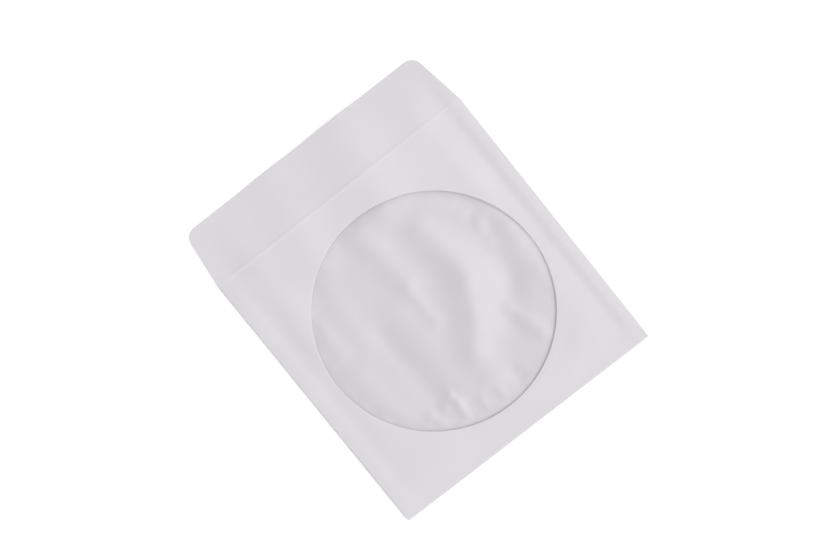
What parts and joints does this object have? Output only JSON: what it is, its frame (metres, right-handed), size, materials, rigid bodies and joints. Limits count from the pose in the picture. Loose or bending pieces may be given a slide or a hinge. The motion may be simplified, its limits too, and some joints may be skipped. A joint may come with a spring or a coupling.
{
  "type": "cd sleeve",
  "caption": "Folded paper sleeve for one 120 mm disc, with a round clear film window in the front panel and an open top flap.",
  "frame": {"origin": "centre of the back panel's underside, straight below the middle of the window, on the surface that the sleeve lies on", "axes": "+Y from the bottom fold towards the flap, +Z out of the window, +X to the right as seen from the window side"},
  "size_m": [0.127, 0.1524, 0.0023],
  "materials": {
    "paper": "smooth uncoated white paper, matte",
    "film": "clear glossy film",
    "glue": "dried clear glue"
  },
  "bodies": {
    "root": {"paper_sleeve": "paper", "window_film": "film", "window_glue": "glue", "side_seam_glue_left": "glue", "side_seam_glue_right": "glue"}
  },
  "joints": []
}
